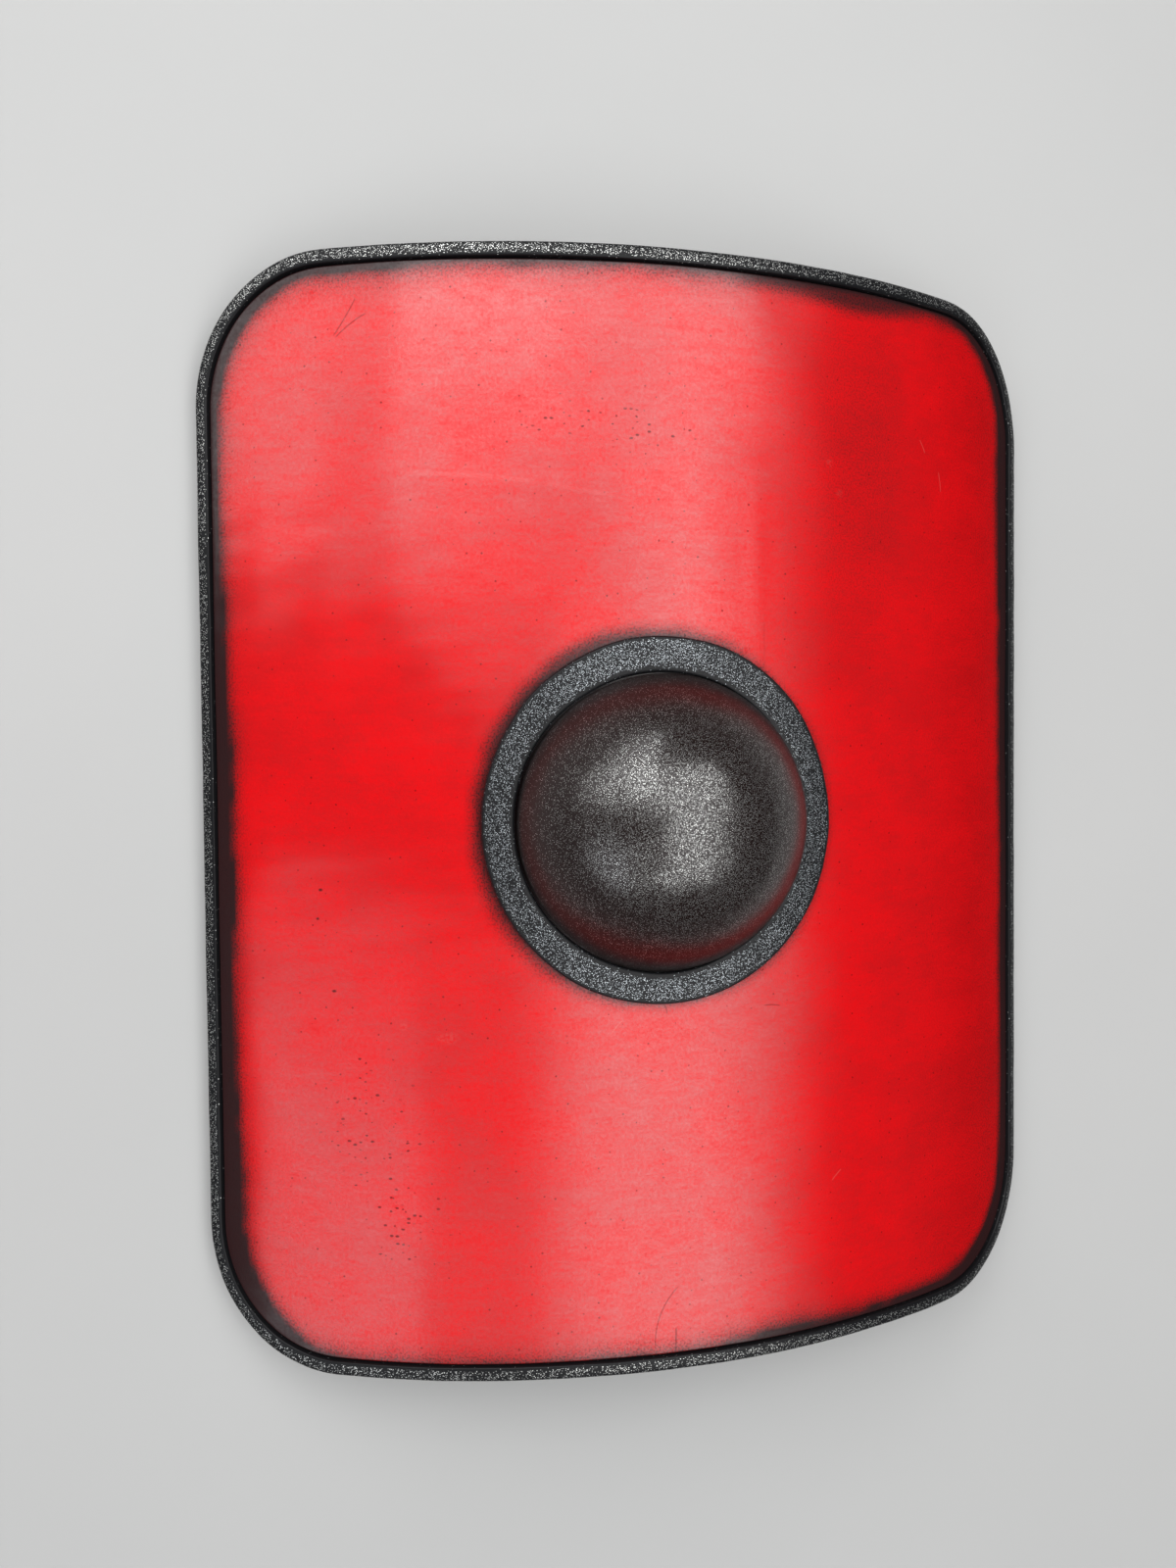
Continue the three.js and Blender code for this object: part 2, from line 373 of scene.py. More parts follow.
# %% Marks of use, as (across, up) on the flat sheet in millimetres
DARK_HAIRLINES = [
    (-185, 261, -166, 274, 1.0),
    (-186, 262, -172, 283, -0.5),
    (1, -262, -14, -299, -5.0),
    (-9, -103, -6, -110, 1.0),
    (52, -109, 63, -110, 0.5),
    (-2, -286, -2.5, -300, 0.0, 0.8),
]
PALE_HAIRLINES = [
    (168, 222, 173, 214, 0.3),
    (185, 205, 187, 192, 0.4),
    (97, -216, 104, -210, 0.2),
    (-38, -120, -31, -112, 0.3),
]
LEVEL_STREAKS = [(-152, 187, -72, 181, 1.2, 2.0), (-72, 181, -30, 175, -0.8, 2.0)]
SEAM = (51.4, 109, 51.2, 72, 0.6, 3.0)
DARK_SPOTS = [(-198, -39, 1.6, 1.1), (-200, -55, 1.2, 1.0), (-191, -95, 1.8, 1.0)]
PALE_SPOTS = [(-127, -120, 8, 4), (-152, -114, 3.5, 2.5), (97, 200, 3, 4), (104, 183, 3, 3)]
SPECKED_PATCHES = [
    (-24, 211, 34, 15),
    (12, 204, 26, 14),
    (-60, 215, 40, 14),
    (-150, -225, 30, 40),
    (-172, -170, 40, 60),
]


def any_of(shapes):
    """The strongest of some masks at each place."""
    total = shapes[0]
    for shape in shapes[1:]:
        total = total.math("MAXIMUM", shape)
    return total


def marked(mask, sheet, marks):
    """One mask for a whole list of marks."""
    return any_of([mask(sheet, *mark) for mark in marks])


print("marks:", len(DARK_HAIRLINES + PALE_HAIRLINES + LEVEL_STREAKS + DARK_SPOTS + PALE_SPOTS))


# %% Wear and colours of the red latex
BRIGHT_RED = (0.64, 0.0031, 0.0053, 1)
DEEP_RED = (0.53, 0.003, 0.005, 1)
SCUFFED_RED = (0.65, 0.07, 0.06, 1)
DARK_RED = (0.1, 0.004, 0.004, 1)
# This black serves both the sprayed paint and the painted shade.
BLACK_PAINT_AND_SHADE = (0.013, 0.0095, 0.010, 1)


def pinholes_in(sheet):
    """Small round holes in the skin, in some of the cells of a loose pattern."""
    near, own = cells(sheet, 0.0075, "2D")
    return fade(near + part(own, "Y") * 0.06, 0.1, 0.05) * fade(part(own, "X"), 0.7, 0.75)


def specks_in(sheet):
    """Fine dark specks, which crowd in a few patches."""
    near, own = cells(stretched(sheet, (0.6, 1, 1)), 0.002, "2D")
    crowded = marked(spot, sheet, SPECKED_PATCHES)
    dots = fade(near - 0.3 * part(own, "Y"), 0.1, 0.0)
    return dots * fade(part(own, "X") + 0.22 * crowded, 1.02, 1.12)


print("patches of specks:", len(SPECKED_PATCHES))


# %% Red latex
def red_latex():
    fixed = {"Specular IOR Level": 0.0, "IOR": 1.5, "Coat IOR": 1.75, "Coat Roughness": 0.17}
    shader, place, material = finish_material("red_latex", (0.6, 0.01, 0.01), fixed)
    sheet = attribute(place, "sheet", "Vector")
    paint_and_shade = attribute(place, "black_paint_and_shade", "Fac")
    dust = fade(flat_noise(sheet, 0.0011, 1.0), 0.42, 0.7)
    black = (paint_and_shade + (paint_and_shade * (1 - paint_and_shade)) * (dust - 0.4) * 1.5).math("MINIMUM", 1.0)
    pinholes = pinholes_in(sheet)
    hairs, spots = marked(hairline, sheet, DARK_HAIRLINES), marked(spot, sheet, DARK_SPOTS)
    worn = any_of([pinholes * 0.7, spots, hairs * 0.55, specks_in(sheet) * 0.8])
    stain = flat_noise(sheet, 0.05, 3.0, 0.65, 1.3)
    strokes = flat_noise(sheet, 0.005, 4.0, 0.75, 3.0)
    grain = flat_noise(sheet, 0.0018, 2.0, 0.7)
    tone = fade(stain * 0.5 + strokes * 0.3 + grain * 0.2, 0.36, 0.64)
    red = blend_colours(tone, BRIGHT_RED, DEEP_RED)
    rubbed = marked(spot, sheet, PALE_SPOTS) * fade(grain, 0.4, 0.6)
    scratched = marked(hairline, sheet, PALE_HAIRLINES)
    red = blend_colours(any_of([rubbed * 0.25, scratched * 0.5]), red, SCUFFED_RED)
    red = blend_colours(worn, red, DARK_RED)
    # The black here is the sprayed paint and the painted shade together.
    colour = blend_colours(black * 0.98, red, BLACK_PAINT_AND_SHADE)
    streaks = marked(hairline, sheet, LEVEL_STREAKS)
    shine = 0.64 + 0.5 * (stain - 0.5) + 0.65 * (strokes - 0.5) + 0.8 * (grain - 0.5)
    shine = (shine + streaks * 0.12 - worn * 0.4) * (1 - 0.95 * fade(part(sheet, "X"), 0.14, 0.22))
    shine = shine * (1 - black * 0.45)
    pebble = flat_noise(sheet, 0.002, 2.0, 0.65)
    seam = hairline(sheet, *SEAM)
    height = pebble * 0.2 + strokes * 0.14 + streaks * 0.15 + seam * 0.4 - pinholes * 0.1
    connect(
        shader,
        Base_Color=colour,
        Roughness=0.18 + black * 0.12,
        Coat_Weight=shine.math("MAXIMUM", 0.0).math("MINIMUM", 1.0),
        Normal=relief(height),
    )
    return material


RED_LATEX = red_latex()
print("made", RED_LATEX.name)

# %% [markdown]
# ## Black latex with a silver speckle
# The rim and the ring are black latex, dusted with silver paint so that they look like cast
# iron. Each fleck is under a millimetre wide. Scattered cells give the flecks, and a share
# says how many of the cells hold one: many on the tops and few on the walls. The rim's crest
# has more silver along the top edge of the shield, a painted highlight where the light falls,
# and less on the right, a painted shade. The paint hardly reached the ring's rolled inner
# edge.


# %% Flecks
def flecks(place, size, share):
    """Silver flecks of about this size in metres: (where they are, how bright each one is)."""
    near, own = cells(place, size)
    there = fade(share - part(own, "X"), -0.02, 0.04)
    return there * fade(near, 0.44, 0.22), part(own, "Y") ** 2


def speckled(name, size, share_of, base, silver, shiny, glossy):
    """Latex in the base colour, under flecks whose share is a field on the piece."""
    shader, place, material = finish_material(name, base[:3], {"Specular IOR Level": shiny})
    sheet = attribute(place, "sheet", "Vector")
    share, bare, clump = share_of(place, sheet)
    drift = 0.4 + 1.2 * noise(place, clump, 3.0, 0.65)
    silvered, bright = flecks(place, size, share * drift)
    tarnished = (*(0.35 * v for v in silver[:3]), 1)
    metal = blend_colours(bright, tarnished, silver)
    connect(
        shader,
        Base_Color=blend_colours(silvered, base, metal),
        Metallic=silvered * 0.95,
        Roughness=glossy + bare,
        Normal=relief(noise(place, 0.0032, 2.0, 0.6) * 0.05),
    )
    return material


def rim_share(place, sheet):
    """The rim's share, what its bare sides add to the roughness, and its clumps' size."""
    across, up = part(sheet, "X"), part(sheet, "Y")
    beyond_x = across.math("ABSOLUTE") - (WIDTH / 2 - CORNER)
    beyond_y = up.math("ABSOLUTE") - (HEIGHT / 2 - CORNER)
    round_x, round_y = beyond_x.math("MAXIMUM", 0.0), beyond_y.math("MAXIMUM", 0.0)
    beyond = (round_x * round_x + round_y * round_y) ** 0.5
    inset = CORNER - beyond - beyond_x.math("MAXIMUM", beyond_y).math("MINIMUM", 0.0)
    crest = fade(inset, 0.3 * MM, 1.3 * MM) * fade(inset, 7.0 * MM, 6.0 * MM)
    crest = crest * fade(part(sheet, "Z"), 0.0, 1.5 * MM)
    # Painted light: more silver along the top edge, where the light falls, and less on the right, which
    # lies in shade.
    painted_light_share = 0.3 * fade(up, 0.25, 0.3) * fade(across, 0.12, -0.02) - 0.25 * fade(across, 0.18, 0.25)
    return 0.03 + crest * (0.75 + painted_light_share), (crest - 1) * 0.1, 0.005


def ring_share(place, sheet):
    off_x = part(sheet, "X") - BOSS[0]
    off_y = part(sheet, "Y") - BOSS[1]
    radius = (off_x * off_x + off_y * off_y) ** 0.5
    rolled = fade(radius, 86.2 * MM, 84.2 * MM)
    wall = fade(radius, 97.2 * MM, 98.4 * MM)
    missed = rolled.math("MAXIMUM", wall)
    return 0.75 - 0.68 * missed, rolled * -0.1, 0.02


BLACK = (0.008, 0.008, 0.009, 1)
SILVER = (0.88, 0.89, 0.87, 1)
BLUISH_SILVER = (0.82, 0.88, 0.93, 1)
RIM_LATEX = speckled("rim_latex", 0.0008, rim_share, BLACK, SILVER, 0.15, 0.38)
RING_LATEX = speckled("ring_latex", 0.0006, ring_share, BLACK, BLUISH_SILVER, 0.18, 0.4)
print("made", RIM_LATEX.name, RING_LATEX.name)

# %% [markdown]
# ## The dome's finish
# The dome is glossier, with a trace of the red undercoat in the black. The silver was
# sprayed from straight above, so it is thick on the crown and thin on the flanks. Each
# vertex carries how far it is from the crown, from 0 to 1, and that sets the share.


# %% Dome latex
def dome_share(place, sheet):
    flank = fade(attribute(place, "from_crown", "Fac"), 0.3, 0.9)
    return 0.9 - 0.72 * flank, flank * 0.15, 0.02


DOME_BASE = (0.011, 0.0055, 0.005, 1)
DOME_LATEX = speckled("dome_latex", 0.0005, dome_share, DOME_BASE, SILVER, 0.4, 0.24)
print("made", DOME_LATEX.name)


# %% [markdown]
# ## The back and the leather
# Nobody looks at the back, so it is one coat of matt black latex with the brush's streaks
# in it. The straps are dark strap leather with a fine grain, paler and smoother where hands
# rubbed it, with waxed thread along both edges and steel rivets at the ends.


# %% Back latex, leather, thread and steel
def back_latex():
    shader, place, material = finish_material("back_latex", (0.02, 0.02, 0.02), {})
    streaks = noise(stretched(place, (1, 0.12, 1)), 0.006, 3.0, 0.6)
    pores = fade(cells(place, 0.0032)[0], 0.3, 0.1) * noise(place, 0.02, 2.0)
    colour = blend_colours(streaks, (0.011, 0.011, 0.012, 1), (0.024, 0.023, 0.023, 1))
    height = streaks * 0.12 - pores * 0.2 + noise(place, 0.0015) * 0.03
    connect(shader, Base_Color=colour, Roughness=0.5 + streaks * 0.2, Normal=relief(height))
    return material


def strap_leather():
    shader, place, material = finish_material("strap_leather", (0.04, 0.024, 0.015), {})
    grain = cells(place, 0.0012)[0]
    worn = noise(stretched(place, (1, 0.4, 1)), 0.03, 4.0, 0.6)
    colour = blend_colours(worn, (0.024, 0.014, 0.009, 1), (0.075, 0.04, 0.022, 1))
    creases = noise(stretched(place, (0.3, 1, 1)), 0.006, 3.0, 0.6)
    height = grain * 0.1 + creases * 0.18
    connect(shader, Base_Color=colour, Roughness=0.68 - worn * 0.25, Normal=relief(height))
    return material


def waxed_thread():
    shader, place, material = finish_material("waxed_thread", (0.25, 0.2, 0.13), {})
    twist = noise(place, 0.0008, 2.0)
    colour = blend_colours(twist, (0.16, 0.12, 0.075, 1), (0.33, 0.26, 0.17, 1))
    connect(shader, Base_Color=colour, Roughness=0.5 + twist * 0.2, Normal=relief(twist * 0.15))
    return material


def dull_steel():
    shader, place, material = finish_material("dull_steel", (0.4, 0.4, 0.4), {"Metallic": 1.0})
    rubbed = noise(place, 0.0012, 4.0, 0.7)
    colour = blend_colours(rubbed, (0.22, 0.21, 0.2, 1), (0.5, 0.49, 0.47, 1))
    connect(shader, Base_Color=colour, Roughness=0.28 + rubbed * 0.3, Normal=relief(rubbed * 0.04))
    return material


BACK_LATEX, LEATHER, THREAD, STEEL = back_latex(), strap_leather(), waxed_thread(), dull_steel()
print("made", BACK_LATEX.name, LEATHER.name, THREAD.name, STEEL.name)

# %% [markdown]
# ## Meshes from rows of points
# Most pieces are made by joining loops of points. A loop of one piece has the same number
# of points as the next, so the faces between two loops are squares that need no thought.


# %% Helpers for meshes
def new_piece(name, points, faces, materials, edges=()):
    """An object at the origin, with its place in its mesh and smooth faces."""
    mesh = bpy.data.meshes.new(name)
    mesh.from_pydata(np.asarray(points).tolist(), list(edges), faces)
    mesh.polygons.foreach_set("use_smooth", [True] * len(mesh.polygons))
    for material in materials:
        mesh.materials.append(material)
    thing = bpy.data.objects.new(name, mesh)
    bpy.context.scene.collection.objects.link(thing)
    return thing


def carry(thing, name, kind, values):
    """Stores one value at each vertex, for the materials to read."""
    layer = thing.data.attributes.new(name, kind, "POINT")
    key = "vector" if kind == "FLOAT_VECTOR" else "value"
    layer.data.foreach_set(key, np.asarray(values, np.float32).ravel())


def band(first, second):
    """Faces between two loops, which are given as their vertices' numbers in order."""
    return np.column_stack([first, np.roll(first, -1), np.roll(second, -1), second])


def leaning(local, across, radius):
    """Rows of (across, up, raised) from a level patch to where it leans on the bend."""
    angle = across / BEND
    reach = radius + local[:, 2]
    x = reach * math.sin(angle) + local[:, 0] * math.cos(angle)
    z = reach * math.cos(angle) - local[:, 0] * math.sin(angle)
    return np.column_stack([x, local[:, 1], z - FOOT_LEVEL])


def ripples(flat, length, drawn_out, seed):
    """Soft waves of about one height, of a given length, in random directions."""
    count = 24
    draw = np.random.default_rng(seed)
    angles = draw.uniform(0, 2 * np.pi, count)
    scales = draw.uniform(0.7, 1.5, count) * 2 * np.pi / length
    starts = draw.uniform(0, 2 * np.pi, count)
    total = np.zeros(len(flat))
    for angle, scale, start in zip(angles, scales, starts):
        across = flat[:, 0] * math.cos(angle) / drawn_out
        total += np.sin(scale * (across + flat[:, 1] * math.sin(angle)) + start)
    return total / math.sqrt(count)


print("helpers ready")

# %% [markdown]
# ## The board
# The face needs fine squares for its soft wrinkles, and loops that follow the outline where
# it rolls down into the groove. A grid that is stretched between the four sides of the
# outline gives both: its border is a loop of the outline. The same grid, turned over, is
# the back.

# %% The outline as four sides
ARC_STEPS = 14
CELL = 3.2 * MM


def outline_side(number, inset):
    """One side of the outline, from the middle of one corner to the middle of the next."""
    half = (WIDTH / 2 - CORNER, HEIGHT / 2 - CORNER)
    corners = [(-half[0], -half[1]), (half[0], -half[1]), (half[0], half[1]), (-half[0], half[1])]
    start, end = np.array(corners[number]), np.array(corners[(number + 1) % 4])
    straight = round(np.linalg.norm(end - start) / CELL)
    down = np.radians(270 + 90 * number)
    turn = np.radians(45) * np.linspace(-1, 0, ARC_STEPS + 1)
    radius = CORNER - inset

    def arc(centre, angles):
        return centre + radius * np.column_stack([np.cos(angles), np.sin(angles)])

    first = arc(start, down + turn)
    last = arc(end, down + turn + np.radians(45))
    steps = np.linspace(0, 1, straight + 1)[1:-1, None]
    middle = first[-1] * (1 - steps) + last[0] * steps
    return np.vstack([first, middle, last])


def outline_loop(inset):
    return np.vstack([outline_side(n, inset)[:-1] for n in range(4)])


def outline_grid(inset):
    """Points that fill the outline, as rows from the bottom up."""
    bottom, right, top, left = (outline_side(n, inset) for n in range(4))
    top, left = top[::-1], left[::-1]
    u = np.linspace(0, 1, len(bottom))[None, :, None]
    v = np.linspace(0, 1, len(left))[:, None, None]
    across = bottom[None] * (1 - v) + top[None] * v
    upward = left[:, None] * (1 - u) + right[:, None] * u
    low = bottom[0] * (1 - u) + bottom[-1] * u
    high = top[0] * (1 - u) + top[-1] * u
    return across + upward - low * (1 - v) - high * v


print("a loop of the outline has", len(outline_loop(0)), "points")

# %% [markdown]
# The wrinkles are real shapes, and the smallest ones are left to the material. Long lazy
# waves come from foam that was cut by hand, short level ones from the brush. A low ridge
# runs up from the boss where two coats overlap, and two level ones cross the left half.


# %% The face's own relief
def hump(flat, across, up, wide, high):
    """A soft oval bump with its middle at a flat place. All sizes in millimetres."""
    x = (flat[:, 0] - across * MM) / (wide * MM)
    y = (flat[:, 1] - up * MM) / (high * MM)
    return np.exp(-(x * x + y * y))


# Waves as (height in millimetres, length, how drawn out, seed).
FACE_WAVES = [(0.34, 0.16, 1.0, 3), (0.06, 0.045, 1.6, 5), (0.02, 0.016, 2.5, 7)]
BACK_WAVES = [(0.2, 0.05, 1.0, 11)]
# Ridges as (across, up, wide, high) and how far they stand out, all in millimetres.
RIDGES = [((49, 140, 6, 45), 0.2), ((-95, 181, 40, 6), 0.15), ((-120, 20, 26, 6), 0.1)]


def waves(flat, layers):
    """Some layers of ripples together, in metres."""
    return MM * sum(high * ripples(flat, *shape) for high, *shape in layers)


def face_relief(flat):
    """How far the latex stands off the true bend, in metres."""
    return waves(flat, FACE_WAVES) + MM * sum(out * hump(flat, *place) for place, out in RIDGES)


print("layers of waves:", len(FACE_WAVES), "and ridges:", len(RIDGES))

# %% [markdown]
# The black paint is widest at the lower left and on the right, narrow in the middle of the
# top and bottom edges, and smeared along the top edge near the right corner. A thin black
# line in the joint round the boss is painted shadow. Thin veils of black are painted shade
# on the right side and, very faintly, on the lower left. A thin veil also dulls a patch near
# the top of the right side.


# %% Black paint along the edges and round the boss
SPRAY_WIDTH = 11.8 * MM
SPRAY_SOFTNESS = 6 * MM


def eased(value, low, high):
    """0 below low, 1 above high, and smooth between, for rows of numbers."""
    share = np.clip((value - low) / (high - low), 0, 1)
    return share * share * (3 - 2 * share)


def boss_lobe(up):
    """How much of its extra width the ring has at this height: all of it at the top."""
    return eased(up - BOSS[1], 0.03, 0.1)


def inside_outline(flat):
    """How far flat places are inside the shield's rounded outline, in metres."""
    beyond_x = np.abs(flat[:, 0]) - (WIDTH / 2 - CORNER)
    beyond_y = np.abs(flat[:, 1]) - (HEIGHT / 2 - CORNER)
    outer = np.hypot(np.maximum(beyond_x, 0), np.maximum(beyond_y, 0))
    return CORNER - outer - np.minimum(np.maximum(beyond_x, beyond_y), 0)


def extra_width(across, up):
    """How much wider than usual the black along the edges is, in metres."""
    left, right = eased(-across, 0.2, 0.26), eased(across, 0.13, 0.25)
    low, high = eased(-up, 0.24, 0.29), eased(up, 0.22, 0.3)
    corner = eased(-across, 0.17, 0.24) * eased(-up, 0.17, 0.25)
    middle = 1 - eased(np.abs(across - 0.03), 0.04, 0.2)
    wider = left * (3 + 4 * eased(-up, -0.13, -0.03)) + corner * 7
    wider += right * (6 + 4 * eased(up, 0.12, 0.18) - 8 * high)
    wider += low * (4.8 * eased(across, -0.02, 0.07) - 3.5) - middle * high * 2
    return wider * MM


def edge_spray(flat, wander, fine):
    """The soft black along all four edges, from 0 to 1."""
    reach = inside_outline(flat) + (wander * 1.2 + fine * 0.5) * MM
    past = reach - extra_width(flat[:, 0], flat[:, 1]) - SPRAY_WIDTH
    return np.exp(-((np.maximum(past, 0) / SPRAY_SOFTNESS) ** 1.2))


def boss_paint(flat, wander, fine):
    """The halo round the ring, heavier on its left, and a thin line of painted shadow in the joint."""
    off_x, off_y = flat[:, 0] - BOSS[0], flat[:, 1] - BOSS[1]
    from_boss = np.hypot(off_x, off_y) - 0.002 * boss_lobe(flat[:, 1])
    lean = eased(off_y * 0.5 - off_x, -0.05, 0.09)
    reach = from_boss + (wander - lean * 3 + fine * 0.5) * MM
    halo = (1 - eased(reach, 0.0985, 0.1085)) * (0.6 + 0.3 * lean)
    # Painted shadow: a thin black line in the joint, where the ring sits on the board.
    joint_shadow = 1 - eased(from_boss, 0.1, 0.1025)
    return np.maximum(halo, joint_shadow)


def smear_and_shade_veils(flat, wander):
    """The smear below the top edge, a thin veil on a patch at the upper right, and the veils of painted
    shade on the right side and the lower left, whichever is strongest.
    """
    across, up = flat[:, 0], flat[:, 1]
    sag = 0.0055 * np.exp(-(((across - 0.118) / 0.032) ** 2))
    smear = eased(up + sag, 0.287, 0.298) * (1 - eased(np.abs(across - 0.1), 0.05, 0.11)) * 0.93
    # Painted shade: a faint veil of black over the lower left.
    lower_left_shade = eased(-across, 0.15, 0.25) * eased(-up, 0.08, 0.2) * 0.1
    # Painted shade: a veil of black over the right side, which turns away from the lights.
    right = eased(across + 0.008 * wander, 0.12, 0.262) * (0.3 + 0.12 * eased(-up, 0.1, 0.25))
    return np.max([smear, lower_left_shade, right, 0.28 * hump(flat, 118, 200, 40, 110)], axis=0)


def black_paint_and_shade(flat):
    """How much black lies at each flat place, from 0 to 1: black paint and painted shade."""
    wander = ripples(flat, 0.11, 1.0, 41)
    fine = ripples(flat, 0.024, 1.0, 42)
    layers = [edge_spray(flat, wander, fine), boss_paint(flat, wander, fine), smear_and_shade_veils(flat, wander)]
    return np.max(layers, axis=0)


print("the black paint is about", SPRAY_WIDTH, "m wide")

# %% Build the board
# The wall and its lower corner, as (in from the edge, raised) in millimetres.
WALL = [(0.0, -3.5), (0.0, -8.0), (0.0, -13.2), (0.3, -13.8)]
BACK_INSET = 1 * MM


def rolled_edge(edge):
    """The face's rolled edge as (inset, raised), from the face down to the wall."""
    turns = np.radians(np.linspace(80, 0, 9))
    return [(edge + ROLL_WIDTH * (1 - math.cos(a)), ROLL_DEPTH * (math.sin(a) - 1)) for a in turns]


def build_board():
    edge = RIM_WIDTH + GAP
    face = outline_grid(edge + ROLL_WIDTH)
    back = outline_grid(edge + BACK_INSET)
    rows, columns = face.shape[:2]
    places = rows * columns
    number = np.arange(places).reshape(rows, columns)
    border = np.concatenate([number[0, :-1], number[:-1, -1], number[-1, :0:-1], number[:0:-1, 0]])
    count = len(border)
    corners = (number[:-1, :-1], number[:-1, 1:], number[1:, 1:], number[1:, :-1])
    squares = np.column_stack([corner.ravel() for corner in corners])
    rolled = rolled_edge(edge)
    section = rolled + [(edge + inset * MM, raised * MM) for inset, raised in WALL]
    loops = [np.column_stack([outline_loop(i), np.full(count, raised)]) for i, raised in section]
    flat_face = np.column_stack([face.reshape(-1, 2), np.zeros(places)])
    flat_back = np.column_stack([back.reshape(-1, 2), np.full(places, -THICKNESS)])
    flat = np.vstack([flat_face, *loops, flat_back])
    first_back = places + len(loops) * count
    around = [border, *np.arange(places, first_back).reshape(-1, count), first_back + border]
    bands = [band(upper, lower)[:, ::-1] for upper, lower in zip(around, around[1:])]
    faces = np.vstack([squares, *bands, squares[:, ::-1] + first_back])
    shaped = flat.copy()
    shaped[:, 2] += face_relief(flat) * np.clip((flat[:, 2] + 3 * MM) / (3 * MM), 0, 1)
    shaped[first_back:, 2] += waves(flat[first_back:], BACK_WAVES)
    board = new_piece("board_latex", bent(shaped), faces.tolist(), [RED_LATEX, BACK_LATEX])
    carry(board, "sheet", "FLOAT_VECTOR", flat)
    carry(board, "black_paint_and_shade", "FLOAT", black_paint_and_shade(flat))
    red_faces = len(squares) + count * (1 + len(rolled))
    slots = np.zeros(len(faces), np.int32)
    slots[red_faces:] = 1
    board.data.polygons.foreach_set("material_index", slots)
    return board


board = build_board()
print("board:", len(board.data.polygons), "faces")

# %% [markdown]
# ## Trees of nodes that make shapes
# The rim, the stitches and the rivets follow a rule, so Geometry Nodes make them. A helper
# starts a tree with named inputs, and another runs it, turns the result into a plain mesh
# without the empty material slot of a copied shape, and takes the modifier away.


# %% Start a tree, and run one
SOCKET_KINDS = {float: "NodeSocketFloat", int: "NodeSocketInt"}


def start_tree(name, sizes):
    """A new tree with a mesh input and one named input for each size, as wires."""
    tree = bpy.data.node_groups.new(name, "GeometryNodeTree")
    tree.interface.new_socket("Mesh", in_out="INPUT", socket_type="NodeSocketGeometry")
    for size, value in sizes.items():
        kind = SOCKET_KINDS[type(value)]
        tree.interface.new_socket(size, in_out="INPUT", socket_type=kind).default_value = value
    tree.interface.new_socket("Finish", in_out="INPUT", socket_type="NodeSocketMaterial")
    tree.interface.new_socket("Mesh", in_out="OUTPUT", socket_type="NodeSocketGeometry")
    entry = tree.nodes.new("NodeGroupInput")
    return {socket.name: Wire(socket) for socket in entry.outputs if socket.name}


def end_tree(shape, finish):
    """Makes the copies real, gives them their finish and ends the tree."""
    real = shape.node("GeometryNodeRealizeInstances", {}, {0: shape})
    smooth = real.node("GeometryNodeSetShadeSmooth", {}, {0: real})
    dressed = smooth.node("GeometryNodeSetMaterial", {}, {"Geometry": smooth, "Material": finish})
    tree = dressed.socket.id_data
    tree.links.new(dressed.socket, tree.nodes.new("NodeGroupOutput").inputs[0])
    return tree


def run_tree(thing, tree, sizes, finish):
    """Runs the tree on the object, and keeps its result as the object's plain mesh."""
    modifier = thing.modifiers.new("shape", "NODES")
    modifier.node_group = tree
    wanted = {**sizes, "Finish": finish}
    for item in tree.interface.items_tree:
        if item.in_out == "INPUT" and item.name in wanted:
            modifier[item.identifier] = wanted[item.name]
    evaluated = thing.evaluated_get(bpy.context.evaluated_depsgraph_get())
    mesh = bpy.data.meshes.new_from_object(evaluated)
    if mesh.materials[0] is None:
        mesh.materials.pop(index=0)
        mesh.polygons.foreach_set("material_index", [0] * len(mesh.polygons))
    thing.modifiers.clear()
    thing.data = mesh
    print(thing.name, "has", len(mesh.polygons), "faces")
    return thing


def vector(x, y, z):
    """Three wires or numbers as one vector. At least one of them is a wire."""
    wire = next(v for v in (x, y, z) if isinstance(v, Wire))
    return wire.node("ShaderNodeCombineXYZ", {}, {0: x, 1: y, 2: z})


print("ready for trees")

# %% [markdown]
# ## The rim
# On the real shield the rim is a strip of foam glued round the board, with its front
# rounded to a bead. That is one section carried along one path, so the tree sweeps it: the
# path is a rectangle with filleted corners, the section is the object's own mesh, drawn
# flat. The sweep comes out with its faces inwards, so the tree flips them. It is made on the
# flat sheet, roughened a little as by hand, and then bent with the same rule as the face.


# %% The rim's section
OUTER_SHOULDER = 2.4 * MM
INNER_SHOULDER = 1.1 * MM


def foot_at(inset):
    return FOOT_LEVEL / math.cos((WIDTH / 2 - inset) / BEND) - BEND


